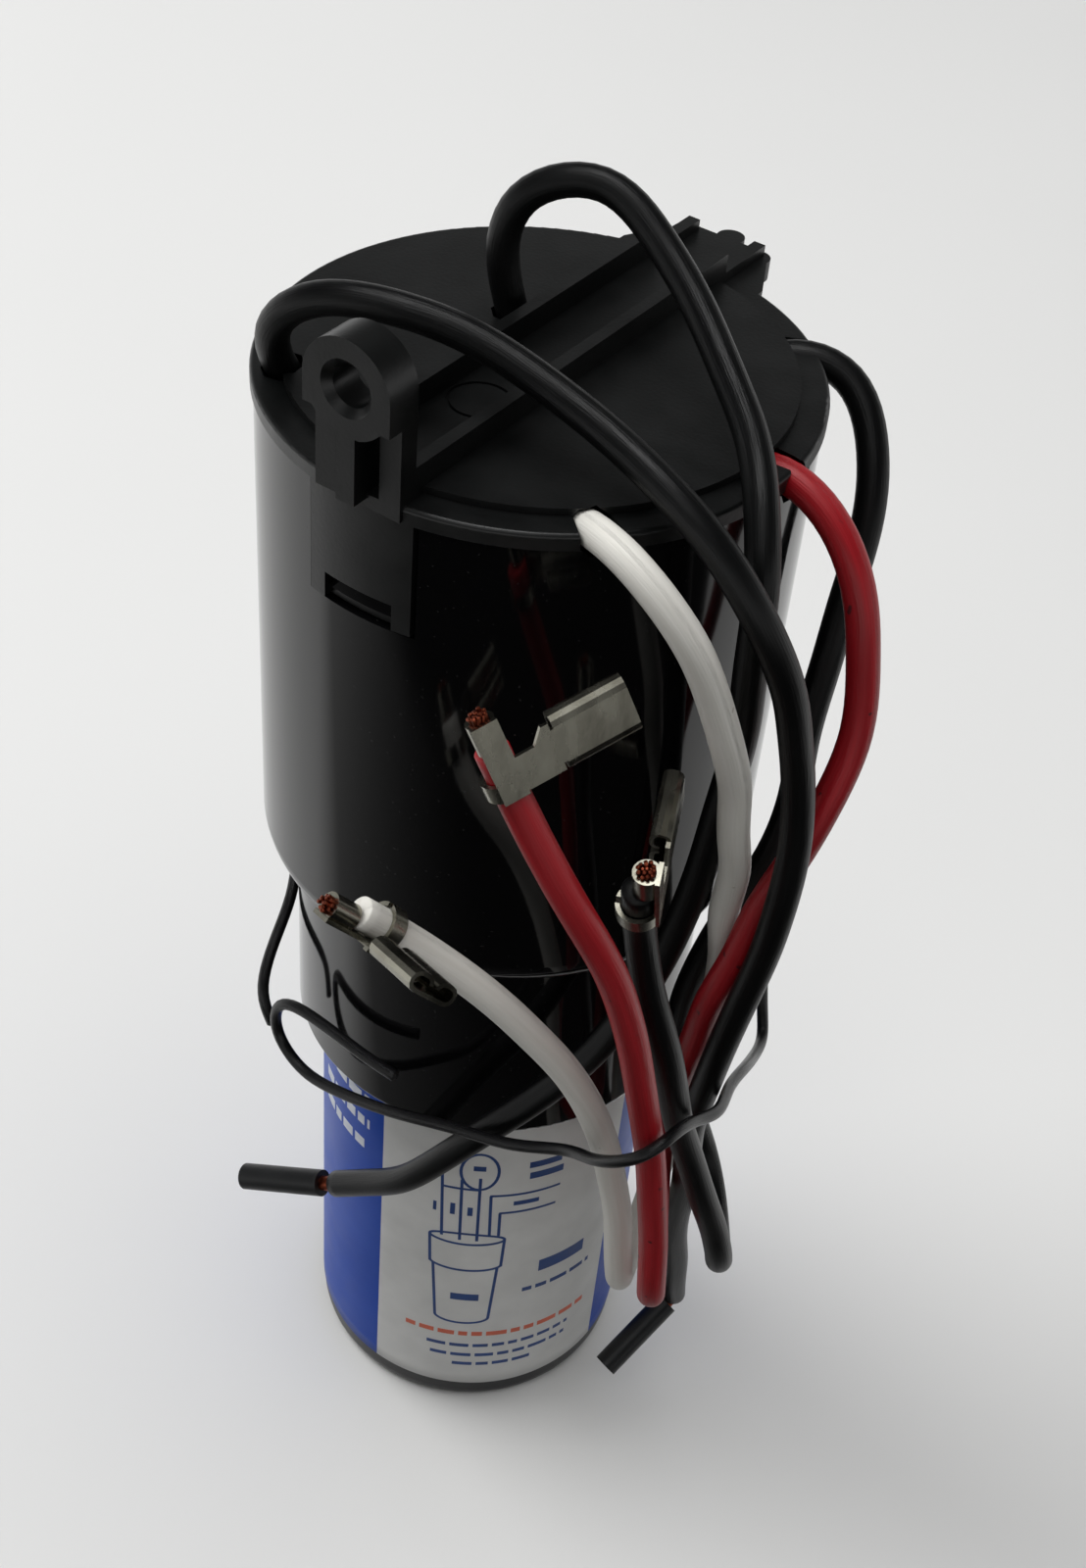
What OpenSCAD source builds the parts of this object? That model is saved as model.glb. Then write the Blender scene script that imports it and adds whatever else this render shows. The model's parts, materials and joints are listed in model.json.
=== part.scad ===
// Compressor start relay: a start capacitor plugged into a stepped housing that
// holds the relay and the overload, closed by a clip-on lid with five leads.
// Millimetres, +Z up, origin on the floor on the axis of the can; the lid's ear is at -Y.

/* [Capacitor] */
// Outer diameter of the capacitor can
case_d = 36.5; // [34:0.1:37]
// Height of the capacitor can
case_h = 69.8; // [60:0.1:80]
// Rounding of the can's bottom edge
case_edge_r = 2; // [0.5:0.1:4]
// Thickness of the printed sleeve round the can
label_t = 0.15; // [0.1:0.05:0.3]
// Height of the bare can below the sleeve
label_bottom = 3.7; // [2.5:0.1:8]
// Height of the printed sleeve
label_h = 54.3; // [40:0.1:56]
// Thickness of the terminal plate in the top of the can
plate_t = 1.5; // [1:0.1:3]
// Width of a capacitor tab
cap_tab_w = 6.3; // [4.8:0.1:8]
// Thickness of a capacitor tab
cap_tab_t = 0.8; // [0.5:0.1:1]
// Height of a capacitor tab above the terminal plate
cap_tab_h = 9.2; // [7:0.1:10.5]

/* [Housing] */
// How far the capacitor goes into the neck
neck_grip = 14; // [10:0.1:20]
// Wall of the neck
neck_wall = 2.35; // [1.8:0.05:2.8]
// Height of the neck below the shoulder
neck_h = 25.2; // [22:0.1:30]
// Radial clearance between the can and the neck
neck_gap = 0.4; // [0.35:0.05:0.8]
// Outer diameter of the wide part
housing_d = 48.7; // [44:0.1:54]
// Height of the wide part, from the shoulder to the rim
housing_h = 51.4; // [50:0.1:60]
// Wall of the wide part
wall = 2.55; // [2.2:0.05:2.8]
// Floor and ledge thickness
floor_t = 2; // [1.5:0.1:3]
// Outer rounding of the shoulder
shoulder_r = 3.7; // [1:0.1:4]
// Width of the ledge that the capacitor stops against
ledge_w = 3.25; // [2:0.05:6]

/* [Lid] */
// How far the lid's flange stands out beyond the housing
flange_lip = 0.25; // [0.1:0.05:0.6]
// Thickness of the flange
flange_t = 1.5; // [1:0.1:2.5]
// Width of the flange round the raised top of the lid
plateau_inset = 2.6; // [2:0.1:4]
// Height of the raised top above the flange
plateau_h = 0.65; // [0.3:0.05:1.2]
// Depth of the ring that centres the lid in the housing
spigot_h = 3; // [2:0.1:5]
// Radial clearance of that ring
spigot_gap = 0.2; // [0.1:0.05:0.4]
// Width of the two long ribs on the lid
rib_w = 1.2; // [0.8:0.1:1.6]
// Height of the two long ribs
rib_h = 2.2; // [0.5:0.1:2.5]
// Distance between the middles of the two ribs
rib_pitch = 7.2; // [6:0.1:8]

/* [Snap tabs] */
// Width of a snap tab
tab_w = 10.3; // [9:0.1:12]
// Thickness of a snap tab
tab_t = 1.4; // [1:0.1:1.5]
// Length of a snap tab below the flange
tab_h = 10.8; // [8:0.1:14]
// Clearance round a snap tab in its recess
tab_gap = 0.3; // [0.2:0.05:0.4]
// Width of the window in a snap tab
window_w = 6.9; // [5:0.1:8]
// Height of the window
window_h = 1.8; // [1.5:0.1:3]
// Height of the bar below the window
bar_h = 0.7; // [0.5:0.1:1.5]

/* [Ear] */
// Diameter of the hole in the ear
ear_hole_d = 3.6; // [2.5:0.1:4.4]
// Diameter of the round boss of the ear
ear_boss_d = 8.4; // [7.5:0.1:10]
// Height of the hole's axis above the housing's rim
ear_rise = 11.1; // [9:0.1:14]
// Length of the boss along the hole
ear_t = 3.4; // [2.5:0.1:5]
// Thickness of the two legs of the ear
leg_t = 1.9; // [1.5:0.1:2.4]
// Height of the two slots between the legs and the middle bar
slot_h = 5.6; // [3:0.1:6]

/* [Tongue] */
// Width of the tongue at the back
tongue_w = 10.4; // [8:0.1:12]
// How far the tongue's straight edge stands out beyond the flange
tongue_out = 5.6; // [4:0.1:8]
// Thickness of the tongue
tongue_t = 2; // [1.2:0.1:2.5]
// Radius of the nub in the middle of the tongue
nub_r = 1.35; // [0.8:0.05:2]

/* [Leads] */
// Diameter of a lead over its insulation
lead_d = 2.9; // [2.2:0.1:3]
// Clearance round a lead where it leaves the lid
exit_gap = 0.3; // [0.2:0.05:0.5]
// Diameter of the copper core
core_d = 1.6; // [1:0.1:1.7]
// Length of bare copper before a loose piece of insulation
bare_l = 1.2; // [0.6:0.1:3]
// Length of the loose piece of insulation on a supply lead
slug_l = 10.5; // [6:0.1:14]
// Diameter of the tie wire over its coating
tie_d = 1.2; // [0.8:0.1:1.3]

/* [Lead terminals] */
// Thickness of the terminals' brass sheet
sheet_t = 0.4; // [0.3:0.05:0.5]
// Width of the receptacle
receptacle_w = 5.2; // [4.9:0.1:8]
// Length of the receptacle
receptacle_l = 6.4; // [5:0.1:10]
// Outer radius of the receptacle's rolled edges
roll_r = 0.95; // [0.8:0.05:1.2]
// Length of the ring that grips the insulation
ring_l = 1.5; // [1:0.1:3]
// Length of the barrel that grips the copper
barrel_l = 2.8; // [2:0.1:4]
// Diameter of one copper strand
strand_d = 0.46; // [0.3:0.02:0.5]

/* [Relay] */
// Clearance between the relay box's corners and the housing
relay_gap = 1; // [0.5:0.1:2]
// Depth of the relay box
relay_d = 24; // [23:0.1:25]
// Height of the relay box
relay_h = 16; // [15.5:0.1:18]
// Wall of the relay box
relay_wall = 1.5; // [1.2:0.1:2]
// Thickness of the relay's cover
relay_cover_t = 2; // [1.5:0.1:3]
// Diameter of the ceramic pill
pill_d = 13; // [10:0.1:13.5]
// Thickness of the ceramic pill
pill_t = 2.6; // [2:0.1:3.5]
// Sheet thickness of the contact springs
spring_t = 0.5; // [0.3:0.05:0.7]
// Width of a contact spring where it presses on the pill
spring_w = 10; // [8:0.1:12]
// Width of the spring's leg down to the capacitor's tab
spring_leg_w = 6; // [4:0.1:6.5]

/* [Overload] */
// Diameter of the overload's base
overload_d = 22; // [20:0.1:23]
// Height of the overload's base
overload_h = 9.5; // [8:0.1:11]
// Wall of the overload's base
overload_wall = 1.6; // [1.2:0.1:2]
// Thickness of the overload's cover
overload_cover_t = 1.5; // [1:0.1:2.5]
// Diameter of the bimetal disc
disc_d = 14; // [11:0.1:15]
// Diameter of the heater wire
heater_d = 0.9; // [0.6:0.1:1.2]

/* [Lugs] */
// Width of a lug's blade inside the housing
lug_w = 3; // [2:0.1:4]
// Thickness of the blade
lug_t = 0.8; // [0.5:0.1:1]
// Length of the barrel that meets the lead
lug_l = 3; // [2:0.1:4]

/* [Hidden] */
$fn = 64;
e = 0.01;
// heights of the main faces
mouth_z = case_h - neck_grip;
shoulder_z = mouth_z + neck_h;
step_z = shoulder_z + floor_t;
rim_z = shoulder_z + housing_h;
flange_z = rim_z + flange_t;
top_z = flange_z + plateau_h;
ear_z = rim_z + ear_rise;
// radii
case_r = case_d / 2;
bore_r = case_r + neck_gap;
outer_r = housing_d / 2;
cup_r = outer_r - wall;
spigot_r = cup_r - spigot_gap;
flange_r = outer_r + flange_lip;
flange_d = 2 * flange_r;
plateau_r = flange_r - plateau_inset;
tongue_reach = flange_r + tongue_out;
neck_r = bore_r + neck_wall;
opening_r = case_r - ledge_w;
lead_r = lead_d / 2;
core_r = core_d / 2;
// snap tabs and their recesses
tab_r = flange_r - tab_t;
recess_r = tab_r - tab_gap;
tab_z = rim_z - tab_h;
window_z = tab_z + bar_h;
// ear, measured outward from the flange's edge
ear_back = flange_r - leg_t;
ear_front = ear_back + ear_t;
leg_w = 2.05;
leg_x = ear_boss_d / 2 - leg_w;
bar_x = 0.9;
chamfer = 0.65;
// relay and overload, stacked on the step inside the housing
relay_w = 2 * sqrt(pow(cup_r - relay_gap, 2) - pow(relay_d / 2, 2));
pill_z = step_z + relay_wall + pill_d / 2;
spring_y = pill_t / 2;
leg_y = 6;
cover_z = step_z + relay_h;
deck_z = cover_z + relay_cover_t;
overload_top = deck_z + overload_h;
collar_z = deck_z + overload_wall + 2.9;

// The cords keep their place when the housing's sizes change.
cord_kr = flange_d / 49.2;
cord_kz = rim_z / 132.4;
function placed(p) = [for (q = p) [q.x * cord_kr, q.y * cord_kr, q.z * cord_kz]];
// routes of the leads, from the inside end outward
white_route = placed([[11, -11.5, 129.5], [15, -15.5, 133], [21, -18.5, 134.5], [27, -18, 129.5],
    [28.5, -16, 124], [30, -13.5, 116], [30, -11, 110.5], [30, -10.5, 105], [30, -7.5, 98],
    [28.5, -6.5, 91], [29, -4.5, 84], [28.5, -4, 76.5], [28.5, -3, 70.5], [28, -2.5, 65.5],
    [27, -2, 58], [26, -2, 51], [24.5, -1, 45.5], [25, -4, 38.5], [27, -11.5, 37.5], [29, -15.5, 43],
    [28.5, -16.5, 51], [28.5, -17, 56], [27.5, -18.5, 64], [27, -19.5, 69], [26, -21.5, 75.5],
    [24.5, -24, 82], [22.5, -26.5, 87], [19, -29, 92.5], [13, -32, 97.5], [10, -36, 102.5]]);
red_route = placed([[16, 1, 129.5], [22, 1.5, 133.5], [28.5, 1, 131.5], [32.5, 0.5, 126], [34, 0, 120.5],
    [35.5, 0, 112.5], [35, -3, 106], [34, -5, 100], [32, -6.5, 93.5], [31.5, -7.5, 87.5],
    [29.5, -8, 80.5], [29, -7.5, 74.5], [27.5, -7.5, 67], [27, -7, 61.5], [26.5, -6.5, 55.5],
    [26.5, -5.5, 48], [29.5, -9.5, 42.5], [33.5, -16.5, 44], [34, -18.5, 51], [33.5, -18.5, 57.5],
    [33, -19.5, 64.5], [32.5, -20, 70.5], [32, -21, 76], [31, -22.5, 84.5], [30.5, -23.5, 89.5],
    [29.5, -25, 96], [28.5, -27, 102], [25.5, -29, 108.5], [21.5, -30, 115.5], [18.5, -31, 122]]);
black_route = placed([[9.5, 13, 129.5], [13.5, 17.5, 133.5], [20, 20, 132.5], [24.5, 17, 127.5],
    [26.5, 14, 122], [27, 10.5, 116], [27.5, 8.5, 110], [27.5, 6.5, 103.5], [28.5, 5.5, 97],
    [28.5, 3, 91], [26.5, 1, 84.5], [25, 0, 78.5], [23.5, 0, 71], [23, 0.5, 65.5], [23.5, 1.5, 59.5],
    [25, 2.5, 51], [27, 4, 44.5], [30.5, 2, 39.5], [35, -4.5, 39], [36.5, -8, 45], [35.5, -9, 51],
    [34.5, -11, 57], [33, -13, 65], [32, -15, 71.5], [32, -17, 78], [31.5, -19, 85.5],
    [29.5, -20.5, 93], [28, -21, 100.5], [28.5, -23, 107]]);
line_a_route = placed([[-4.5, 5.5, 127], [-6, 4.5, 133.5], [-8, 3.5, 140.5], [-6.5, 4.5, 146.5],
    [0, 8, 148.5], [6, 7, 145], [11.5, 5, 142], [17, 1.5, 139], [22, -2, 137], [26, -7, 135],
    [29, -10.5, 130], [28.5, -9.5, 122], [28.5, -8.5, 115.5], [28, -8, 110], [27, -7.5, 103],
    [26.5, -7.5, 96.5], [25.5, -8, 89], [24.5, -9.5, 82.5], [23, -12.5, 76.5], [21, -15.5, 71.5],
    [17.5, -18.5, 66], [14.5, -21, 62], [10.5, -23, 56], [7, -24, 50.5], [2.5, -23.5, 46],
    [-2.5, -23.5, 41.5]]);
line_b_route = placed([[-12, -11, 127.5], [-16, -14.5, 132], [-16, -17.5, 139], [-11, -16.5, 143.5],
    [-4.5, -14, 143.5], [1.5, -12, 142.5], [8.5, -11.5, 140.5], [15, -12, 139], [21.5, -13.5, 137.5],
    [26.5, -13.5, 134.5], [31, -13, 129], [33, -11, 123], [33.5, -9.5, 117.5], [34, -8, 112],
    [35, -7.5, 104], [35, -8.5, 96.5], [34.5, -8.5, 91], [33.5, -9, 84.5], [32.5, -9.5, 77.5],
    [31.5, -9, 70.5], [30.5, -8.5, 64], [30, -7, 58], [29.5, -5, 52], [29, -3.5, 46], [28, -2, 39.5],
    [27.5, -0.5, 33], [27.5, 1.5, 26.5], [27, 3, 20], [26.5, 5, 14]]);
// route of the tie wire, from its free tail round the bundle and the neck
tie_route = placed([[5, -23.5, 65.5], [1, -23.5, 65.5], [-7.5, -22.5, 65.5], [-11.5, -22.5, 64.5],
    [-12, -22.5, 59], [-8, -23, 56], [-3.5, -23.5, 57], [3, -24, 59.5], [7.5, -24, 61.5],
    [13, -23, 63], [19, -23, 65], [24.5, -21, 67.5], [28.5, -24, 71.5], [33.5, -24, 76],
    [34.5, -20.5, 77.5], [34, -15.5, 74], [35, -12, 72], [32.5, -6, 68.5], [32, -1.5, 66.5],
    [30.5, 4, 62], [29.5, 8.5, 60], [27.5, 10.5, 62.5], [25.5, 12.5, 69], [24, 15, 73.5],
    [19, 17, 72], [13.5, 19.5, 71.5], [5.5, 21, 70], [1.5, 22, 70.5], [-1.5, 22, 69.5],
    [-8, 20.5, 70.5], [-13, 18, 69.5], [-18.5, 12.5, 70.5], [-19, 10.5, 69.5], [-22.5, 3.5, 70],
    [-22, 1, 69], [-21, -8, 70], [-17.5, -12.5, 68.5], [-16.5, -16.5, 66], [-15, -21.5, 62.5],
    [-13, -21.5, 58.5]]);
// turn of each flag terminal about its wire, and the way each loose slug points
white_spin = 112;
red_spin = 220;
black_spin = 190;
slug_a_dir = [-0.89, -0.2, -0.42];
slug_b_dir = [-0.22, -0.86, -0.47];

// Cord geometry: a uniform cubic B-spline whose ends are the first and last route points.
function unit(v) = v / norm(v);
function last(p) = p[len(p) - 1];
function ends(p) = concat([2 * p[0] - p[1]], p, [2 * last(p) - p[len(p) - 2]]);
function blend(q, i, t) = (q[i] * pow(1 - t, 3) + q[i + 1] * (3 * t * t * t - 6 * t * t + 4)
    + q[i + 2] * (-3 * t * t * t + 3 * t * t + 3 * t + 1) + q[i + 3] * pow(t, 3)) / 6;
function track(p) = let (q = ends(p))
    concat([for (i = [0:len(p) - 2]) for (t = [0, 0.5]) blend(q, i, t)], [last(p)]);
function heading(c, i) = unit(c[min(i + 1, len(c) - 1)] - c[max(i - 1, 0)]);
function across(v, t) = unit(v - (v * t) * t);
function carried(c, i = 0, n = []) = i == len(c) ? n :
    carried(c, i + 1, concat(n, [across(i == 0 ? [0.31, 0.87, 0.38] : n[i - 1], heading(c, i))]));
function start_way(p) = unit(p[1] - p[0]);
function end_way(p) = unit(last(p) - p[len(p) - 2]);

// Tube of eight sides through the points of c, from the way "from" to the way "to".
module sweep(c, from, to, d) {
    n = carried(c);
    s = 8;
    m = len(c);
    pts = [for (i = [0:m - 1]) let (t = i == 0 ? from : i == m - 1 ? to : heading(c, i),
        u = across(n[i], t), w = cross(t, u)) for (k = [0:s - 1])
        c[i] + d / 2 * (cos(360 * k / s) * u + sin(360 * k / s) * w)];
    sides = [for (i = [0:m - 2]) for (k = [0:s - 1]) let (a = i * s + k, b = i * s + (k + 1) % s)
        each [[a, b + s, b], [a, a + s, b + s]]];
    caps = [[for (k = [0:s - 1]) k], [for (k = [s - 1:-1:0]) (m - 1) * s + k]];
    polyhedron(pts, concat(sides, caps));
}
module cord(p, d) sweep(track(p), start_way(p), end_way(p), d);
// Way out for a lead: a wider tube along the first part of its route.
module tunnel(p) {
    c = [for (i = [0:4]) track(p)[i]];
    sweep(c, start_way(p), heading(c, 4), (lead_d + 2 * exit_gap) / cos(22.5));
}
// Places children with their Z axis along v at point a.
module along(a, v, spin = 0) {
    w = unit(v);
    translate(a) rotate([0, acos(w.z), atan2(w.y, w.x)]) rotate([0, 0, spin]) children();
}
module rod(a, b, r) along(a, b - a) cylinder(r = r, h = norm(b - a));

// Ring between two radii, kept within a width about the Y axis, on both sides.
module both_sides() {
    children();
    rotate([0, 0, 180]) children();
}
module strap(r1, r2, w, z1, z2) {
    intersection() {
        translate([0, 0, z1]) difference() {
            cylinder(r = r2, h = z2 - z1, $fn = 128);
            translate([0, 0, -1]) cylinder(r = r1, h = z2 - z1 + 2, $fn = 128);
        }
        translate([-w / 2, -r2 - 1, z1 - 1]) cube([w, r2 + 1, z2 - z1 + 2]);
    }
}

// Half outline of the housing: neck, shoulder with rounded corner, wide part.
module housing_outline() {
    lip = 0.6;
    root = min(1, (outer_r - neck_r) / 3);
    translate([0, mouth_z + lip]) square([neck_r, neck_h]);
    translate([0, mouth_z]) square([neck_r - lip, neck_h]);
    translate([neck_r - lip, mouth_z + lip]) circle(lip);
    difference() {
        translate([neck_r - e, shoulder_z - root]) square([root + e, root + e]);
        translate([neck_r + root, shoulder_z - root]) circle(root);
    }
    translate([0, shoulder_z]) square([outer_r - shoulder_r, housing_h]);
    translate([0, shoulder_z + shoulder_r]) square([outer_r, housing_h - shoulder_r]);
    translate([outer_r - shoulder_r, shoulder_z + shoulder_r]) circle(shoulder_r);
}
module housing() color("#141414") {
    difference() {
        rotate_extrude($fn = 128) intersection() {
            housing_outline();
            translate([0, mouth_z]) square([outer_r + 1, rim_z - mouth_z]);
        }
        translate([0, 0, mouth_z - 1]) cylinder(r = bore_r, h = neck_grip + 1, $fn = 128);
        translate([0, 0, case_h - e]) cylinder(r = opening_r, h = floor_t + 1);
        translate([0, 0, case_h + floor_t]) cylinder(r = bore_r, h = step_z, $fn = 128);
        translate([0, 0, step_z]) cylinder(r = cup_r, h = housing_h, $fn = 128);
        both_sides() strap(recess_r, outer_r + 2, tab_w + 2 * tab_gap, tab_z - tab_gap, rim_z + 1);
        tunnel(white_route);
        tunnel(red_route);
        tunnel(black_route);
        tunnel(line_b_route);
    }
    both_sides() snap_nub();
}
// Wedge on the recess floor that the tab's window catches on.
module snap_nub() {
    low = window_z + 0.2;
    high = window_z + window_h - 0.3;
    intersection() {
        rotate_extrude($fn = 128) polygon([[recess_r - 0.5, low], [tab_r + 0.9, low], [recess_r + 0.15, high],
            [recess_r - 0.5, high]]);
        translate([-window_w / 2 + 0.2, -flange_r, tab_z]) cube([window_w - 0.4, flange_r, tab_h]);
    }
}

// Lid: flange, raised top, centring ring, ribs, snap tabs, front ear and back tongue in one moulding.
module lid_outline() {
    edge = 0.4;
    translate([0, rim_z]) square([flange_r, flange_t - edge]);
    translate([0, rim_z]) square([flange_r - edge, flange_t]);
    translate([flange_r - edge, flange_z - edge]) circle(edge);
    translate([0, flange_z - e]) square([plateau_r, plateau_h + e]);
    translate([spigot_r - 1.4, rim_z - spigot_h]) square([1.4, spigot_h + e]);
}
module lid() color("#1c1c1c") difference() {
    union() {
        rotate_extrude($fn = 128) lid_outline();
        lid_ribs();
        tongue();
        both_sides() snap_tab();
        ear();
    }
    ear_holes();
    tunnel(white_route);
    tunnel(red_route);
    tunnel(black_route);
    tunnel(line_a_route);
    tunnel(line_b_route);
    ejector_mark();
}
module lid_ribs() {
    for (x = [-1, 1] * rib_pitch / 2)
        translate([x - rib_w / 2, -ear_back - e, flange_z]) cube([rib_w, 2 * ear_back, plateau_h + rib_h]);
}
module ejector_mark() {
    translate([0, -8.9, top_z - 0.25]) difference() {
        cylinder(d = 5.6, h = 1);
        translate([0, 0, -1]) cylinder(d = 5, h = 3);
    }
}
module snap_tab() {
    difference() {
        strap(tab_r, flange_r, tab_w, tab_z, rim_z + e);
        translate([-window_w / 2, -flange_r - 1, tab_z - 1]) cube([window_w, flange_r, 1 + bar_h + window_h]);
    }
    strap(tab_r, tab_r + 0.6, window_w + 0.6, tab_z, window_z);
}
// Two legs, a middle bar that stands proud, and the round boss above them.
module ear() {
    w = ear_boss_d;
    translate([-w / 2, -flange_r, rim_z + 0.2]) cube([w, leg_t, ear_rise - 0.2]);
    translate([-w / 2, -ear_front, ear_z - 2.6]) cube([w, ear_t, 2.6]);
    translate([-bar_x, -ear_front, flange_z - 0.5]) cube([2 * bar_x, ear_t, ear_rise - flange_t]);
    translate([0, -ear_back, ear_z]) rotate([90, 0, 0]) cylinder(d = w, h = ear_t);
}
module ear_holes() {
    translate([0, 1 - ear_back, ear_z]) rotate([90, 0, 0]) cylinder(d = ear_hole_d, h = ear_t + 2);
    translate([0, -ear_front + chamfer, ear_z]) rotate([90, 0, 0])
        cylinder(d1 = ear_hole_d, d2 = ear_hole_d + 2 * chamfer, h = chamfer + e);
    for (s = [-1, 1]) translate([s * (bar_x + leg_x) / 2, 0, flange_z + slot_h / 2])
        translate([-(leg_x - bar_x) / 2, -ear_front - 1, -slot_h / 2]) cube([leg_x - bar_x, ear_t + 2 - e, slot_h]);
}
// Low hook at the back: a flat tongue with a half-round nub on its straight edge and two ribs on top.
module tongue() {
    w = tongue_w / 2;
    c = 1.3;
    y0 = tongue_reach;
    difference() {
        translate([0, 0, flange_z - tongue_t]) linear_extrude(tongue_t) {
            polygon([[-w - 2.4, y0 - 6.4], [-w, y0 - c - 0.4], [-w, y0 - c], [w, y0 - c], [w, y0 - c - 0.4],
                [w + 2.4, y0 - 6.4], [w + 2.4, plateau_r - 3], [-w - 2.4, plateau_r - 3]]);
            translate([-w + c, y0 - 2 * c]) square([2 * w - 2 * c, 2 * c]);
            for (s = [-1, 1]) translate([s * (w - c), y0 - c]) circle(c);
            translate([0, y0 + 0.4]) circle(nub_r);
        }
        translate([0, 0, rim_z - 3]) cylinder(r = flange_r + 0.25, h = 3, $fn = 128);
    }
    for (x = [-1, 1] * rib_pitch / 2)
        translate([x - rib_w / 2, ear_back - 1, flange_z - e]) cube([rib_w, y0 - ear_back + 0.5, 1]);
}

// Sealed capacitor: can, terminal plate, two tabs and the printed sleeve.
module capacitor_case() color("#202020") difference() {
    rotate_extrude($fn = 128) {
        translate([0, case_edge_r]) square([case_r, case_h - case_edge_r]);
        square([case_r - case_edge_r, case_h]);
        intersection() {
            translate([case_r - case_edge_r, case_edge_r]) circle(case_edge_r);
            square([case_r, case_h]);
        }
    }
    translate([0, 0, case_h - plate_t]) cylinder(r = case_r - 1.1, h = plate_t + 1);
}
module capacitor_cover() color("#3a2a20")
    translate([0, 0, case_h - plate_t]) cylinder(r = case_r - 1.15, h = plate_t);
module capacitor_tab(side) color("silver")
    translate([-cap_tab_w / 2, side > 0 ? leg_y + spring_t : -leg_y - spring_t - cap_tab_t, case_h])
        cube([cap_tab_w, cap_tab_t, cap_tab_h]);
module capacitor_tab_a() capacitor_tab(1);
module capacitor_tab_b() capacitor_tab(-1);
module capacitor_label() color("#2850a8") translate([0, 0, label_bottom]) difference() {
    cylinder(r = case_r + label_t, h = label_h, $fn = 128);
    translate([0, 0, -1]) cylinder(r = case_r, h = label_h + 2, $fn = 128);
}

// Relay: open box on the step, cover, ceramic pill and two contact springs that reach the tabs.
module relay_case() color("#2b2b2e") translate([0, 0, step_z]) difference() {
    translate([-relay_w / 2, -relay_d / 2, 0]) cube([relay_w, relay_d, relay_h]);
    translate([-relay_w / 2 + relay_wall, -relay_d / 2 + relay_wall, relay_wall])
        cube([relay_w - 2 * relay_wall, relay_d - 2 * relay_wall, relay_h]);
    slot = [spring_leg_w + 0.6, spring_t + 0.7, relay_wall + 2];
    for (s = [-1, 1]) translate([-slot.x / 2, s * (leg_y + spring_t / 2) - slot.y / 2, -1]) cube(slot);
}
module relay_cover() color("#333336") {
    translate([-relay_w / 2, -relay_d / 2, cover_z]) cube([relay_w, relay_d, relay_cover_t]);
    translate([-relay_w / 2 + relay_wall + 0.15, -relay_d / 2 + relay_wall + 0.15, cover_z - 0.8])
        cube([relay_w - 2 * relay_wall - 0.3, relay_d - 2 * relay_wall - 0.3, 0.8 + e]);
}
module ptc_pill() color("#6b6b6b")
    translate([0, pill_t / 2, pill_z]) rotate([90, 0, 0]) cylinder(d = pill_d, h = pill_t);
module contact_spring(side) color("goldenrod") mirror([0, side > 0 ? 0 : 1, 0]) {
    bed = step_z + relay_wall;
    leg = spring_leg_w;
    translate([-spring_w / 2, spring_y, bed]) cube([spring_w, spring_t, pill_d - 1]);
    translate([-leg / 2, spring_y, bed]) cube([leg, leg_y + spring_t - spring_y, spring_t]);
    translate([-leg / 2, leg_y, case_h + 2.5]) cube([leg, spring_t, bed + spring_t - case_h - 2.5]);
}
module contact_spring_a() contact_spring(1);
module contact_spring_b() contact_spring(-1);

// Overload on the relay's cover: base cup, cover, bimetal disc on a stepped pin, heater wire.
module overload_base() color("#4a3428") translate([0, 0, deck_z]) difference() {
    cylinder(d = overload_d, h = overload_h);
    translate([0, 0, overload_wall]) cylinder(d = overload_d - 2 * overload_wall, h = overload_h);
}
module overload_cover() color("#5a4030")
    translate([0, 0, overload_top]) cylinder(d = overload_d, h = overload_cover_t);
module overload_pin() color("silver") {
    translate([0, 0, deck_z + overload_wall]) cylinder(d = 3.2, h = collar_z - deck_z - overload_wall);
    translate([0, 0, collar_z - e]) cylinder(d = 2.4, h = overload_top - collar_z + e);
}
module bimetal_disc() color("#b08a50") rotate_extrude()
    polygon([[1.25, collar_z], [1.6, collar_z], [disc_d / 2, collar_z - 0.7], [disc_d / 2, collar_z - 0.4],
        [1.6, collar_z + 0.3], [1.25, collar_z + 0.3]]);
module heater_wire() color("gray") translate([0, 0, deck_z + overload_wall + heater_d / 2])
    rotate_extrude(angle = 300) translate([overload_d / 2 - overload_wall - heater_d, 0]) circle(d = heater_d);

// Lug inside the lid: a barrel that meets the lead's end and a blade down to what carries it.
module lug(p, base_z) color("goldenrod") {
    v = start_way(p);
    tip = p[0] - lug_l * v;
    rod(tip, p[0], lead_r - 0.1);
    translate([tip.x, tip.y, 0]) rotate([0, 0, atan2(tip.y, tip.x)])
        translate([-lug_t / 2, -lug_w / 2, base_z]) cube([lug_t, lug_w, tip.z - base_z + 0.5]);
}
module lug_white() lug(white_route, deck_z);
module lug_red() lug(red_route, deck_z);
module lug_black() lug(black_route, deck_z);
module lug_line_a() lug(line_a_route, overload_top + overload_cover_t);
module lug_line_b() lug(line_b_route, deck_z);

module lead_white() color("white") cord(white_route, lead_d);
module lead_red() color("#9c2323") cord(red_route, lead_d);
module lead_black() color("#1d1f22") cord(black_route, lead_d);
module lead_line_a() color("#1d1f22") cord(line_a_route, lead_d);
module lead_line_b() color("#1d1f22") cord(line_b_route, lead_d);
module tie_wire() color("#101010") cord(tie_route, tie_d);

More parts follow.
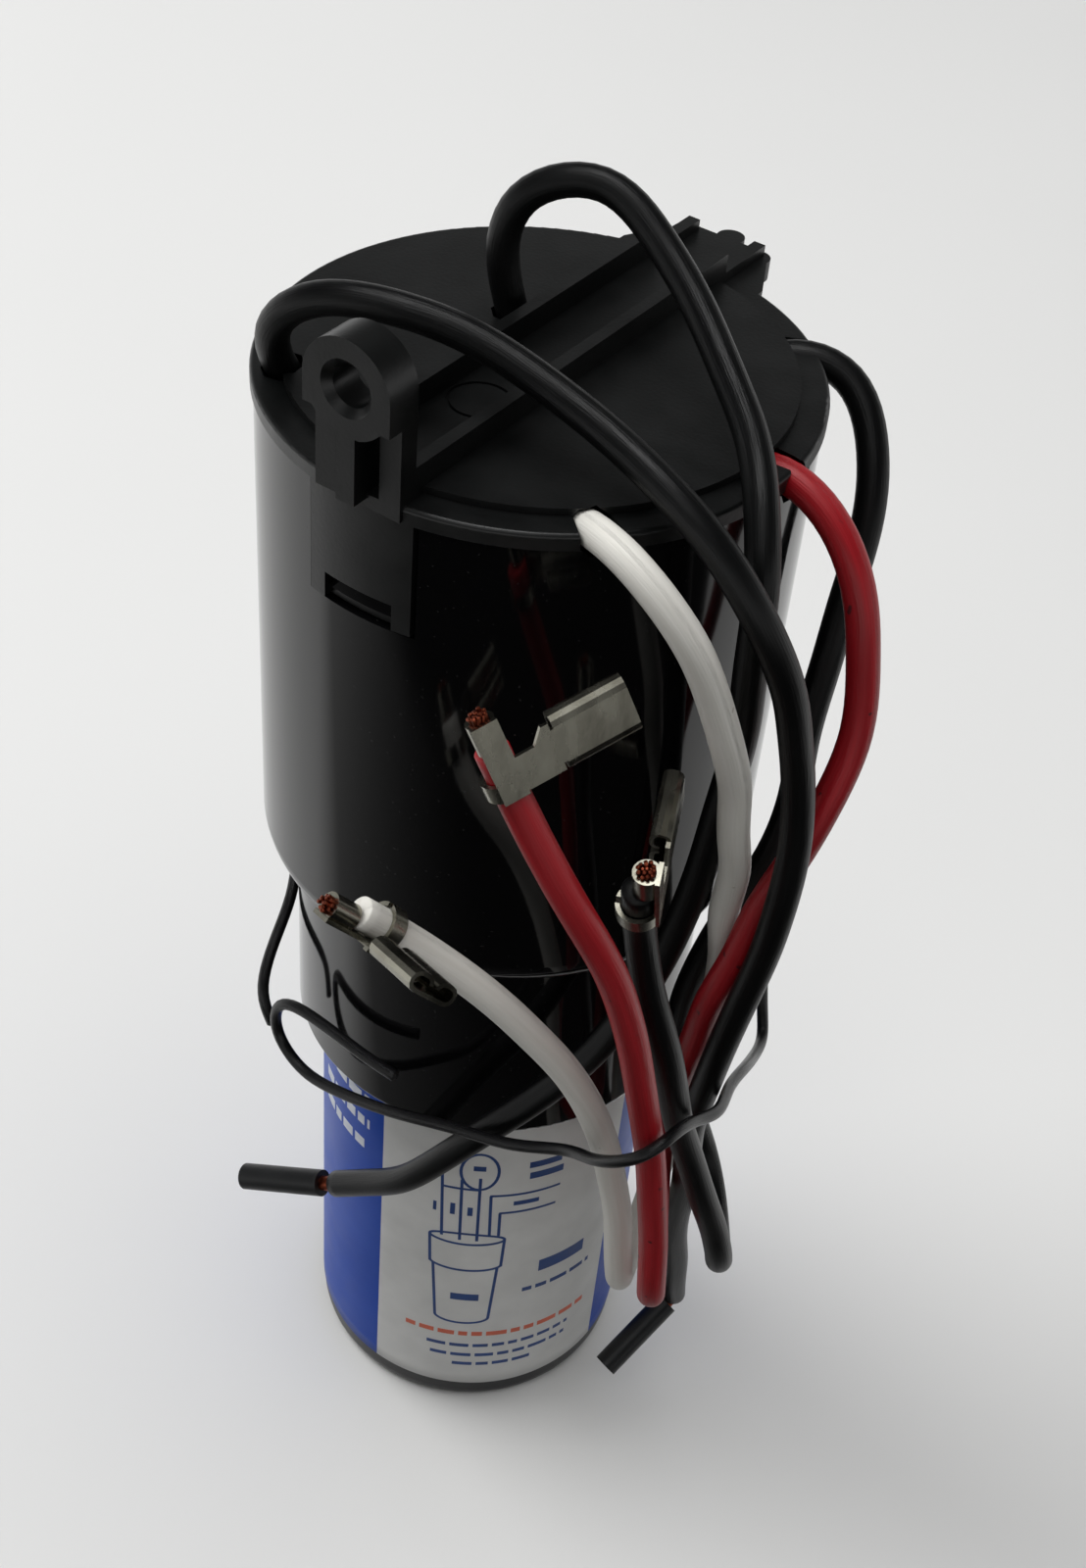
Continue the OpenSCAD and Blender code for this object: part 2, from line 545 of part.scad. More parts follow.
// Flag terminal in the wire's own frame: wire along Z, receptacle along X, sheet on -Y.
ring_z = -2.4 - ring_l;
barrel_z = 0.4;
barrel_end = barrel_z + barrel_l;
ring_r = lead_r + 0.1;
seat = 0.03;
base_y = seat - ring_r - sheet_t;
core_y = base_y + sheet_t + seat + core_r;
flag_x = 4.7;
flag_z = -1.5;
module at_end(p, spin) along(last(p), end_way(p), spin) children();
module flag_terminal() {
    translate([0, 0, ring_z]) difference() {
        cylinder(r = ring_r + sheet_t, h = ring_l, $fn = 32);
        translate([0, 0, -1]) cylinder(r = ring_r, h = ring_l + 2, $fn = 32);
        translate([-0.3, 0, -1]) cube([0.6, 4, ring_l + 2]);
    }
    translate([0, core_y, barrel_z]) difference() {
        cylinder(r = core_r + sheet_t, h = barrel_l - 0.1, $fn = 32);
        translate([0, 0, -1]) cylinder(r = core_r, h = barrel_l + 2, $fn = 32);
    }
    translate([0, base_y + sheet_t, 0]) rotate([90, 0, 0]) linear_extrude(sheet_t) arm_outline();
    translate([flag_x, base_y, flag_z - receptacle_w / 2]) rotate([90, 0, 90]) linear_extrude(receptacle_l)
        receptacle_profile();
    translate([flag_x + receptacle_l - 1.4, base_y + sheet_t - e, flag_z]) rotate([-90, 0, 0])
        cylinder(d1 = 1.4, d2 = 0.9, h = 0.3, $fn = 24);
}
// Strip under the wire and the arm to the receptacle, with a slanted step up to the receptacle's width.
module arm_outline() {
    low = flag_z - receptacle_w / 2;
    high = flag_z + receptacle_w / 2;
    slit = flag_x - 0.3;
    neck = roll_r + 0.1;
    polygon([[-1.1, ring_z - 0.1], [1.1, ring_z - 0.1], [1.1, low + sheet_t], [slit, low + sheet_t],
        [slit, low + neck], [flag_x + 0.3, low + neck], [flag_x + 0.3, high - neck], [slit, high - neck],
        [slit, high - sheet_t], [slit - 0.6, high - sheet_t], [slit - 1.6, high - neck - 0.6],
        [1.1, high - neck - 0.6], [1.1, barrel_end], [-1.1, barrel_end]]);
}
// Flat sheet with both edges rolled over toward the middle; X is the sheet's height, Y its width.
function bow(c, r, a, b) = [for (i = [0:6]) c + r * [cos(a + (b - a) * i / 6), sin(a + (b - a) * i / 6)]];
function backward(p) = [for (i = [len(p) - 1:-1:0]) p[i]];
module receptacle_profile() {
    low = [roll_r, roll_r];
    tip = [roll_r + 0.1, receptacle_w / 2 - roll_r - 0.1];
    inner = roll_r - sheet_t;
    roll = concat(bow(low, roll_r, 180, 360), bow(tip, roll_r - 0.1, 0, 90),
        bow(tip, inner - 0.1, 90, 0), bow(low, inner, 360, 180));
    polygon(concat(roll, backward([for (q = roll) [q.x, receptacle_w - q.y]])));
}
// Copper core from the lead's end through the barrel, with seven strand ends.
module strand_bundle() {
    top = barrel_end + 0.15;
    translate([0, core_y, 0]) {
        cylinder(r = core_r - 0.02, h = top, $fn = 32);
        translate([0, 0, top - e]) cylinder(d = strand_d, h = 0.55, $fn = 12);
        for (a = [0:60:300]) rotate([0, 0, a]) translate([strand_d + 0.06, 0, top - e])
            cylinder(d = strand_d, h = 0.4, $fn = 12);
    }
}
module terminal_white() color("#c9c6b8") at_end(white_route, white_spin) flag_terminal();
module terminal_red() color("#c9c6b8") at_end(red_route, red_spin) flag_terminal();
module terminal_black() color("#c9c6b8") at_end(black_route, black_spin) flag_terminal();
module strands_white() color("#b5653a") at_end(white_route, white_spin) strand_bundle();
module strands_red() color("#b5653a") at_end(red_route, red_spin) strand_bundle();
module strands_black() color("#b5653a") at_end(black_route, black_spin) strand_bundle();

// Bare copper between a supply lead and its loose slug of insulation.
function elbow(p) = last(p) + (core_r + 0.15) * end_way(p);
function slug_start(p, v) = elbow(p) + max(bare_l, core_r + 0.1) * unit(v);
module bare_core(p, v) color("#b5653a") {
    rod(last(p), elbow(p), core_r);
    translate(elbow(p)) sphere(r = core_r + 0.02);
    rod(elbow(p), slug_start(p, v), core_r);
}
module slug(p, v) color("#1d1f22") rod(slug_start(p, v), slug_start(p, v) + slug_l * unit(v), lead_r);
module core_line_a() bare_core(line_a_route, slug_a_dir);
module core_line_b() bare_core(line_b_route, slug_b_dir);
module slug_line_a() slug(line_a_route, slug_a_dir);
module slug_line_b() slug(line_b_route, slug_b_dir);

housing();
lid();
capacitor_case();
capacitor_cover();
capacitor_tab_a();
capacitor_tab_b();
capacitor_label();
relay_case();
relay_cover();
ptc_pill();
contact_spring_a();
contact_spring_b();
overload_base();
overload_cover();
bimetal_disc();
overload_pin();
heater_wire();
lug_white();
lug_red();
lug_black();
lug_line_a();
lug_line_b();
lead_white();
lead_red();
lead_black();
lead_line_a();
lead_line_b();
terminal_white();
terminal_red();
terminal_black();
strands_white();
strands_red();
strands_black();
core_line_a();
core_line_b();
slug_line_a();
slug_line_b();
tie_wire();
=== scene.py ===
# %% [markdown]
# # A compressor start relay, dressed for its portrait
# The real object is a start capacitor plugged into a stepped black housing, with a clip-on lid,
# five leads and a tie wire. The CAD model already holds every piece at its true size. This
# lesson loads that model, puts a camera where the picture was taken from, swaps the few pieces
# that plain solids can't show well, and gives each piece the surface that it has in the hand.

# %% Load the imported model
import json
import math

import bmesh
import bpy
import numpy as np
from mathutils import Matrix, Vector


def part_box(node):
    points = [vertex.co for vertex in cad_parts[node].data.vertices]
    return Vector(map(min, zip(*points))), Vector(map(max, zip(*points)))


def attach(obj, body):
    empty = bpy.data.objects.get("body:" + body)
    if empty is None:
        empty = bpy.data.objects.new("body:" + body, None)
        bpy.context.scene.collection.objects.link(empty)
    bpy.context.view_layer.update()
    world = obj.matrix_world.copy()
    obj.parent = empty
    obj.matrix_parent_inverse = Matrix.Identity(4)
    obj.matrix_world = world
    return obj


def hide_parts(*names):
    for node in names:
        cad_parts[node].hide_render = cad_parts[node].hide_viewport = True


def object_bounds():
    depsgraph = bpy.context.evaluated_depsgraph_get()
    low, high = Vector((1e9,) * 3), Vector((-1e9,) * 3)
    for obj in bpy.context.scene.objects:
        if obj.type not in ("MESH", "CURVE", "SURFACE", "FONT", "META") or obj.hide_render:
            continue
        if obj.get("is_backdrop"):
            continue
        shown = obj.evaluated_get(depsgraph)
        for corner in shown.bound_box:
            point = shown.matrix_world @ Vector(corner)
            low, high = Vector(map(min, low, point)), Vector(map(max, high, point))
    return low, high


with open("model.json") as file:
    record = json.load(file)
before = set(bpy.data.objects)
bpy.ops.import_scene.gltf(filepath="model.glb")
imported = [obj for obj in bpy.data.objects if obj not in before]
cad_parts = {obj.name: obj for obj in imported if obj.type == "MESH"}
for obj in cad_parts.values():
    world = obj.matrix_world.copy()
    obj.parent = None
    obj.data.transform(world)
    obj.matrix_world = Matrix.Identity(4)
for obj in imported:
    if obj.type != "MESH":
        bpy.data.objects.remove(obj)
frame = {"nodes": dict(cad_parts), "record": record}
cad_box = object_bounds()
nodes = frame["nodes"]
MM = 0.001
print("nodes in the frame:", len(nodes))

# %% [markdown]
# ## The camera
# The picture was taken from close by, looking down at about 42 degrees with the camera tilted a
# little. A camera can be aimed by eye, but one that is fitted to the round rims of the can and
# the housing puts every edge where the picture has it. It is three unit vectors and a place.
# They are written in the picture's own axes, X to the right and Y away from us, then turned
# about the upright axis, because the ear on the lid sets the frame's directions.

# %% Camera
PITCH, ROLL, TURN = (math.radians(angle) for angle in (42.495, 5.586, 31.8))
EYE_MM = [3.554, -152.632, 225.689]
LENS, SENSOR = 47.264, 36
NEAREST = 0.01

level = np.array([1.0, 0.0, 0.0])
ahead = np.array([0.0, math.cos(PITCH), -math.sin(PITCH)])
above = np.cross(level, ahead)
cam_right = math.cos(ROLL) * level + math.sin(ROLL) * above
cam_up = -math.sin(ROLL) * level + math.cos(ROLL) * above
spin_z = np.array([[math.cos(TURN), -math.sin(TURN), 0], [math.sin(TURN), math.cos(TURN), 0], [0, 0, 1]])
eye = spin_z @ np.array(EYE_MM) * MM
pose = np.eye(4)
pose[:3, :3] = spin_z @ np.column_stack([cam_right, cam_up, -ahead])
pose[:3, 3] = eye

camera_data = bpy.data.cameras.new("camera")
camera_data.lens = LENS
camera_data.sensor_width = SENSOR
camera_data.clip_start = NEAREST
camera = bpy.data.objects.new("camera", camera_data)
bpy.context.scene.collection.objects.link(camera)
camera.matrix_world = Matrix(pose.tolist())
bpy.context.scene.camera = camera
bpy.context.scene.view_settings.view_transform = "Standard"
print("camera stands at", np.round(eye, 4))

# %% [markdown]
# ## Meshes from arrays
# Every new piece below is an array of points first. It could be modelled by hand, but a grid of
# points comes out of a formula in one go, and a change of size is then one number. Rows and
# columns become a skin of four-sided faces. The skin can close on itself round the columns, as a
# tube does, and strips of faces laid across the first and the last ring close the tube's ends.

# %% Grid to mesh
def grid_faces(rows, cols, wrap):
    """Quads between neighbouring rows and columns; with wrap the last column joins the first."""
    i = np.arange(rows - 1)[:, None]
    j = np.arange(cols if wrap else cols - 1)[None, :]
    k = (j + 1) % cols
    quads = np.stack([i * cols + j, i * cols + k, (i + 1) * cols + k, (i + 1) * cols + j], -1)
    return quads.reshape(-1, 4)


def tube_faces(rows, cols):
    """Quads round a tube, and across each end: a pair of neighbours joined to the pair that faces it."""
    i = np.arange(cols // 2 - 1)
    across = np.stack([i, i + 1, cols - 2 - i, cols - 1 - i], -1)
    return np.vstack([grid_faces(rows, cols, True), across[:, ::-1], across + (rows - 1) * cols])


def joined(skins):
    """Several skins of points and faces as one: each one's faces count on from the points before."""
    points = [skin[0].reshape(-1, 3) for skin in skins]
    first = np.cumsum([0] + [len(p) for p in points[:-1]])
    return np.vstack(points), np.vstack([skin[1] + n for skin, n in zip(skins, first)])


def piece_from(name, points, faces, uv=None, smooth=True):
    """Puts points and four-sided faces into a mesh, with uv given for each point."""
    mesh = bpy.data.meshes.new(name)
    mesh.from_pydata(points.reshape(-1, 3).tolist(), [], faces.tolist())
    mesh.polygons.foreach_set("use_smooth", np.full(len(mesh.polygons), smooth))
    if uv is not None:
        corner = np.empty(len(mesh.loops), np.int32)
        mesh.loops.foreach_get("vertex_index", corner)
        layer = mesh.uv_layers.new(name="run")
        layer.data.foreach_set("uv", uv.reshape(-1, 2)[corner].astype(np.float32).ravel())
    mesh.validate()
    mesh.update()
    piece = bpy.data.objects.new(name, mesh)
    bpy.context.scene.collection.objects.link(piece)
    return piece


print("a tube of 3 rings and 8 sides has", len(tube_faces(3, 8)), "faces")

# %% [markdown]
# ## The cords
# The leads are hook-up wire in a plastic skin, and the tie is a coated wire wound round the neck
# and the leads. A curve object with a bevel would draw them too. A tube that is worked out here
# also has cut ends, and a map of its own along the lead, which the grain of the skin follows.
# The centre line is a uniform cubic B-spline: it glides past its route points and never kinks.
# A point added beyond each end makes it start and stop exactly at the first and the last one.

# %% Curve and tube
ODD_WAY = [0.31, 0.87, 0.38]
CAP_SHARE = 0.4
MAP_UNIT = 0.01


def smooth_run(route, steps):
    """Cubic B-spline along a route in millimetres, with so many steps from one point to the next.

    Each point blends four neighbours, with the weights (1-t)^3, 3t^3-6t^2+4, -3t^3+3t^2+3t+1
    and t^3, all over 6.
    """
    p = np.asarray(route, float) * MM
    q = np.vstack([2 * p[0] - p[1], p, 2 * p[-1] - p[-2]])
    t = (np.arange(steps) / steps)[None, :, None]
    a, b, c, d = (q[k:len(p) - 1 + k][:, None, :] for k in range(4))
    behind = a * (1 - t) ** 3 + b * (3 * t**3 - 6 * t**2 + 4)
    run = (behind + c * (-3 * t**3 + 3 * t**2 + 3 * t + 1) + d * t**3) / 6
    return np.vstack([run.reshape(-1, 3), p[-1]])


def run_length(run):
    """Sum of the distances between neighbouring points."""
    return float(np.linalg.norm(np.diff(run, axis=0), axis=1).sum())


def unit(v):
    """Each vector over its own length."""
    return v / np.linalg.norm(v, axis=-1, keepdims=True)


def side_vectors(run):
    """Directions across the run, each the last one with its part along the run taken out."""
    way = unit(np.gradient(run, axis=0))
    side = [unit(np.cross(way[0], ODD_WAY))]
    for w in way[1:]:
        side.append(unit(side[-1] - w * (side[-1] @ w)))
    side = np.array(side)
    return way, side, np.cross(way, side)


def tube_skin(run, radius, sides, edge):
    """Circle carried along a run: P = C + r (cos a u + sin a w), bevelled and capped at each end.

    The map's first direction counts centimetres along the run, and its second goes once round.
    """
    way, u, w = side_vectors(run)
    first, last = run[:1], run[-1:]
    bevel_in, bevel_out = first + way[:1] * edge, last - way[-1:] * edge
    centre = np.vstack([first, first, bevel_in, run[1:-1], bevel_out, last, last])
    pick = np.r_[0, 0, 0, np.arange(1, len(run) - 1), [len(run) - 1] * 3]
    r = np.full(len(centre), radius)
    r[[0, -1]] = radius * CAP_SHARE
    r[[1, -2]] = radius - edge
    a = np.linspace(0, 2 * np.pi, sides, endpoint=False)
    ring = np.cos(a)[None, :, None] * u[pick][:, None] + np.sin(a)[None, :, None] * w[pick][:, None]
    points = centre[:, None] + r[:, None, None] * ring
    along = np.r_[0, np.cumsum(np.linalg.norm(np.diff(centre, axis=0), axis=1))]
    uv = np.stack(np.broadcast_arrays(along[:, None] / MAP_UNIT, a[None, :] / (2 * np.pi)), -1)
    return points, tube_faces(len(centre), sides), uv


# %% Routes of the leads and of the tie wire, in millimetres
white_route = [[11, -11.5, 129.5], [15, -15.5, 133], [21, -18.5, 134.5], [27, -18, 129.5],
    [28.5, -16, 124], [30, -13.5, 116], [30, -11, 110.5], [30, -10.5, 105], [30, -7.5, 98],
    [28.5, -6.5, 91], [29, -4.5, 84], [28.5, -4, 76.5], [28.5, -3, 70.5], [28, -2.5, 65.5],
    [27, -2, 58], [26, -2, 51], [24.5, -1, 45.5], [25, -4, 38.5], [27, -11.5, 37.5], [29, -15.5, 43],
    [28.5, -16.5, 51], [28.5, -17, 56], [27.5, -18.5, 64], [27, -19.5, 69], [26, -21.5, 75.5],
    [24.5, -24, 82], [22.5, -26.5, 87], [19, -29, 92.5], [13, -32, 97.5], [10, -36, 102.5]]
red_route = [[16, 1, 129.5], [22, 1.5, 133.5], [28.5, 1, 131.5], [32.5, 0.5, 126], [34, 0, 120.5],
    [35.5, 0, 112.5], [35, -3, 106], [34, -5, 100], [32, -6.5, 93.5], [31.5, -7.5, 87.5],
    [29.5, -8, 80.5], [29, -7.5, 74.5], [27.5, -7.5, 67], [27, -7, 61.5], [26.5, -6.5, 55.5],
    [26.5, -5.5, 48], [29.5, -9.5, 42.5], [33.5, -16.5, 44], [34, -18.5, 51], [33.5, -18.5, 57.5],
    [33, -19.5, 64.5], [32.5, -20, 70.5], [32, -21, 76], [31, -22.5, 84.5], [30.5, -23.5, 89.5],
    [29.5, -25, 96], [28.5, -27, 102], [25.5, -29, 108.5], [21.5, -30, 115.5], [18.5, -31, 122]]
black_route = [[9.5, 13, 129.5], [13.5, 17.5, 133.5], [20, 20, 132.5], [24.5, 17, 127.5],
    [26.5, 14, 122], [27, 10.5, 116], [27.5, 8.5, 110], [27.5, 6.5, 103.5], [28.5, 5.5, 97],
    [28.5, 3, 91], [26.5, 1, 84.5], [25, 0, 78.5], [23.5, 0, 71], [23, 0.5, 65.5], [23.5, 1.5, 59.5],
    [25, 2.5, 51], [27, 4, 44.5], [30.5, 2, 39.5], [35, -4.5, 39], [36.5, -8, 45], [35.5, -9, 51],
    [34.5, -11, 57], [33, -13, 65], [32, -15, 71.5], [32, -17, 78], [31.5, -19, 85.5],
    [29.5, -20.5, 93], [28, -21, 100.5], [28.5, -23, 107]]
line_a_route = [[-4.5, 5.5, 127], [-6, 4.5, 133.5], [-8, 3.5, 140.5], [-6.5, 4.5, 146.5],
    [0, 8, 148.5], [6, 7, 145], [11.5, 5, 142], [17, 1.5, 139], [22, -2, 137], [26, -7, 135],
    [29, -10.5, 130], [28.5, -9.5, 122], [28.5, -8.5, 115.5], [28, -8, 110], [27, -7.5, 103],
    [26.5, -7.5, 96.5], [25.5, -8, 89], [24.5, -9.5, 82.5], [23, -12.5, 76.5], [21, -15.5, 71.5],
    [17.5, -18.5, 66], [14.5, -21, 62], [10.5, -23, 56], [7, -24, 50.5], [2.5, -23.5, 46],
    [-2.5, -23.5, 41.5]]
line_b_route = [[-12, -11, 127.5], [-16, -14.5, 132], [-16, -17.5, 139], [-11, -16.5, 143.5],
    [-4.5, -14, 143.5], [1.5, -12, 142.5], [8.5, -11.5, 140.5], [15, -12, 139], [21.5, -13.5, 137.5],
    [26.5, -13.5, 134.5], [31, -13, 129], [33, -11, 123], [33.5, -9.5, 117.5], [34, -8, 112],
    [35, -7.5, 104], [35, -8.5, 96.5], [34.5, -8.5, 91], [33.5, -9, 84.5], [32.5, -9.5, 77.5],
    [31.5, -9, 70.5], [30.5, -8.5, 64], [30, -7, 58], [29.5, -5, 52], [29, -3.5, 46], [28, -2, 39.5],
    [27.5, -0.5, 33], [27.5, 1.5, 26.5], [27, 3, 20], [26.5, 5, 14]]
tie_route = [[5, -23.5, 65.5], [1, -23.5, 65.5], [-7.5, -22.5, 65.5], [-11.5, -22.5, 64.5],
    [-12, -22.5, 59], [-8, -23, 56], [-3.5, -23.5, 57], [3, -24, 59.5], [7.5, -24, 61.5],
    [13, -23, 63], [19, -23, 65], [24.5, -21, 67.5], [28.5, -24, 71.5], [33.5, -24, 76],
    [34.5, -20.5, 77.5], [34, -15.5, 74], [35, -12, 72], [32.5, -6, 68.5], [32, -1.5, 66.5],
    [30.5, 4, 62], [29.5, 8.5, 60], [27.5, 10.5, 62.5], [25.5, 12.5, 69], [24, 15, 73.5],
    [19, 17, 72], [13.5, 19.5, 71.5], [5.5, 21, 70], [1.5, 22, 70.5], [-1.5, 22, 69.5],
    [-8, 20.5, 70.5], [-13, 18, 69.5], [-18.5, 12.5, 70.5], [-19, 10.5, 69.5], [-22.5, 3.5, 70],
    [-22, 1, 69], [-21, -8, 70], [-17.5, -12.5, 68.5], [-16.5, -16.5, 66], [-15, -21.5, 62.5],
    [-13, -21.5, 58.5]]

# %% Lay the cords
LEAD_D, TIE_D = 2.9 * MM, 1.2 * MM
LEAD_SIDES, TIE_SIDES = 24, 14
CORD_EDGE = 0.12 * MM
STEPS = 6

cords = {}
for name, route, across, sides, node in [
    ("white_lead", white_route, LEAD_D, LEAD_SIDES, "lead_white"),
    ("red_lead", red_route, LEAD_D, LEAD_SIDES, "lead_red"),
    ("black_lead", black_route, LEAD_D, LEAD_SIDES, "lead_black"),
    ("supply_lead_a", line_a_route, LEAD_D, LEAD_SIDES, "lead_line_a"),
    ("supply_lead_b", line_b_route, LEAD_D, LEAD_SIDES, "lead_line_b"),
    ("tie", tie_route, TIE_D, TIE_SIDES, "tie_wire"),
]:
    run = smooth_run(route, STEPS)
    cord = piece_from(name, *tube_skin(run, across / 2, sides, CORD_EDGE))
    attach(cord, "root")
    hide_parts(node)
    cords[name] = (cord, run)
    print(name, "is", round(run_length(run) / MM, 1), "mm long")

# %% [markdown]
# ## Copper strands
# Each flag terminal is folded round the stripped end of its lead, and the cut strands stand out
# of the barrel like a tiny brush. A rod with a bumpy material would do from far away, but up
# close the ends have to be round and uneven. One strand is a thin tube on a gentle helix, and
# sixteen of them make the bundle: one in the middle, five round it and ten round those.

# %% Strand bundles
STRAND_R, STRAND_EDGE = 0.19 * MM, 0.05 * MM
STRAND_SIDES, STRAND_POINTS = 8, 22
INNER, OUTER = 5, 10
STRANDS = 1 + INNER + OUTER
INNER_R, OUTER_R = 0.34 * MM, 0.59 * MM
STRAND_LOW, STRAND_TOP = 0.05 * MM, 3.4 * MM
BARREL_OFF = 0.69 * MM
# How far tops stand below or above STRAND_TOP, in millimetres, and the twist in radians.
UNEVEN, TWIST = (-0.05, 0.45), 1.6
# The share of the height where the ends begin to spread, and how fast they may.
FLARE_FROM, FLARE = 0.88, 2.6
FIRST_SEED = 40
# Each terminal's lead, and the degrees that it is turned about its wire.
flag_turns = {"white": (white_route, 112), "red": (red_route, 220), "black": (black_route, 190)}


def wire_axes(route, spin):
    """Frame at the end of a lead: Z along the wire, turned by spin about it, as columns of a matrix."""
    w = unit(np.subtract(route[-1], route[-2]))
    polar, azimuth, s = math.acos(w[2]), math.atan2(w[1], w[0]), math.radians(spin)
    m = Matrix.Rotation(azimuth, 3, "Z") @ Matrix.Rotation(polar, 3, "Y") @ Matrix.Rotation(s, 3, "Z")
    return np.array(m)


def strand_runs(route, spin, seed):
    """Helices round the barrel's axis: P = (R cos a, R sin a, z), where a grows slowly with z.

    Near the top R grows by a share of its own for each strand, and the tops differ in height.
    """
    rng = np.random.default_rng(seed)
    ring = np.r_[0, np.full(INNER, INNER_R), np.full(OUTER, OUTER_R)]
    start = np.r_[0, np.arange(INNER) / INNER, np.arange(OUTER) / OUTER] * 2 * np.pi
    top = STRAND_TOP + rng.uniform(*UNEVEN, STRANDS) * MM
    t = np.linspace(0, 1, STRAND_POINTS)
    spread = 1 + np.clip(t - FLARE_FROM, 0, None)[:, None] * rng.uniform(0, FLARE, STRANDS)
    a = start + TWIST * t[:, None]
    x = ring * spread * np.cos(a)
    y = ring * spread * np.sin(a) - BARREL_OFF
    z = t[:, None] * top + STRAND_LOW
    local = np.stack([x, y, z], -1)
    return local @ wire_axes(route, spin).T + np.array(route[-1]) * MM


strands = {}
for seed, (name, (route, spin)) in enumerate(flag_turns.items()):
    runs = strand_runs(route, spin, FIRST_SEED + seed)
    skins = [tube_skin(runs[:, k], STRAND_R, STRAND_SIDES, STRAND_EDGE) for k in range(STRANDS)]
    piece = piece_from("copper_" + name, *joined(skins))
    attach(piece, "root")
    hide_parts("strands_" + name)
    strands[name] = piece
print("strand bundles:", list(strands))

# %% [markdown]
# A cord is more than its shape, but here each one is only looked up again with its run: the three
# flag leads, the two supply leads and the tie. The lead is out of the lid one route point after
# its start.

for name, colour in [("white_lead", "white"), ("red_lead", "red"), ("black_lead", "black")]:
    cord, run = cords[name]
for name, end in [("supply_lead_a", "line_a"), ("supply_lead_b", "line_b")]:
    cord, run = cords[name]
cord, run = cords["tie"]
print("cords declared:", len(cords))

# %% [markdown]
# ## The printed sleeve
# The can wears a thin printed sleeve: blue all round, with a silver panel in front. A painted
# band on the can would look flat, and the real sleeve has edges and an end that rides over the
# other at the back. Paper on a cylinder is a grid in angle and height, and where it overlaps
# the radius grows by about its own thickness. The can and the plain CAD sleeve give its sizes.

# %% Sleeve
CAN_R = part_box("capacitor_case")[1].x / MM
label_low, label_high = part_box("capacitor_label")
SLEEVE_T = label_high.x / MM - CAN_R
LOW, HIGH = label_low.z / MM, label_high.z / MM
SEAM, LAP, LAP_ANGLE, LAP_RAMP = 128.0, 0.12, 9, 0.6
COLUMNS, MIDDLE_ROWS, ROW_INSET = 361, 12, 2
SOFT_EDGE_R, SOFT_EDGE_Z = 0.04, 0.05
WELD = 0.001 * MM


def weld(piece):
    """Joins points that lie closer than WELD, so that edges laid on each other become one."""
    work = bmesh.new()
    work.from_mesh(piece.data)
    bmesh.ops.remove_doubles(work, verts=work.verts, dist=WELD)
    work.to_mesh(piece.data)
    work.free()


def sleeve():
    """r(a) = can + thickness + lap, where the lap rises just before the seam.

    The grid runs up the outside and back down the inside, and is welded shut.
    """
    a = np.radians(np.linspace(SEAM - 360, SEAM, COLUMNS))
    lap = LAP * np.clip((np.degrees(a) - (SEAM - LAP_ANGLE)) / LAP_RAMP, 0, 1)
    lap[-1] = 0.0
    middle = np.linspace(LOW + ROW_INSET, HIGH - ROW_INSET, MIDDLE_ROWS)
    z = np.array([LOW, LOW, LOW + SOFT_EDGE_Z, *middle, HIGH - SOFT_EDGE_Z, HIGH, HIGH, LOW])
    skin = np.full(len(z), SLEEVE_T)
    skin[[1, -3]] = SLEEVE_T - SOFT_EDGE_R
    skin[[0, -2, -1]] = 0.0
    r = CAN_R + skin[:, None] + np.where(skin[:, None] > 0, lap[None, :], 0)
    points = np.stack([r * np.cos(a), r * np.sin(a), np.broadcast_to(z[:, None], r.shape)], -1) * MM
    uv = np.stack(np.broadcast_arrays(np.degrees(a)[None, :] / 360, z[:, None] / 100), -1)
    piece = piece_from("printed_sleeve", points, grid_faces(len(z), COLUMNS, False), uv)
    weld(piece)
    return piece


label = sleeve()
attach(label, "root")
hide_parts("capacitor_label")
print("sleeve points:", len(label.data.vertices))

# %% [markdown]
# ## Ink on the sleeve
# The print is a plain wiring sketch with rows of short bars, in blue, orange and white. It could
# be drawn in the sleeve's material, but as geometry it stays crisp at any size. Each mark is a
# stroke: a flat profile, as wide as the pen, carried along a line on the unrolled sleeve and
# wrapped round the can. Lines are given as degrees round the can and millimetres up.

# %% Strokes
PEN = 0.34
PEN_STEP = 0.35
ARC_POINTS = 33
INK_TOP, INK_FOOT = 0.025, -0.01
BAR_LENGTHS, BAR_GAP = (3.2, 8.0), 1.5


def stroke(path, width):
    """A line with a pen's width, wrapped on the can as r cos a, r sin a, z with a = distance / radius.

    Each sample has four corners, two above the paper and two just under it.
    """
    line = np.asarray(path, float)
    s = np.column_stack([np.radians(line[:, 0]) * CAN_R, line[:, 1]])
    far = np.r_[0, np.cumsum(np.linalg.norm(np.diff(s, axis=0), axis=1))]
    even = np.linspace(0, far[-1], max(2, int(far[-1] / PEN_STEP) + 2))
    fine = np.unique(np.r_[even, far])
    s = np.column_stack([np.interp(fine, far, s[:, 0]), np.interp(fine, far, s[:, 1])])
    way = unit(np.gradient(s, axis=0))
    off = np.column_stack([-way[:, 1], way[:, 0]]) * width / 2
    flat = np.stack([s + off, s - off, s - off, s + off], 1)
    r = CAN_R + SLEEVE_T + np.array([INK_TOP, INK_TOP, INK_FOOT, INK_FOOT])
    a = flat[..., 0] / CAN_R
    points = np.stack([r * np.cos(a), r * np.sin(a), flat[..., 1]], -1) * MM
    return points, tube_faces(len(points), 4)


def arc(centre, rx, rz, lo, hi):
    """Part of an ellipse: centre + (rx cos t, rz sin t), t from lo to hi degrees."""
    t = np.radians(np.linspace(lo, hi, ARC_POINTS))
    return np.column_stack([centre[0] + rx * np.cos(t), centre[1] + rz * np.sin(t)])


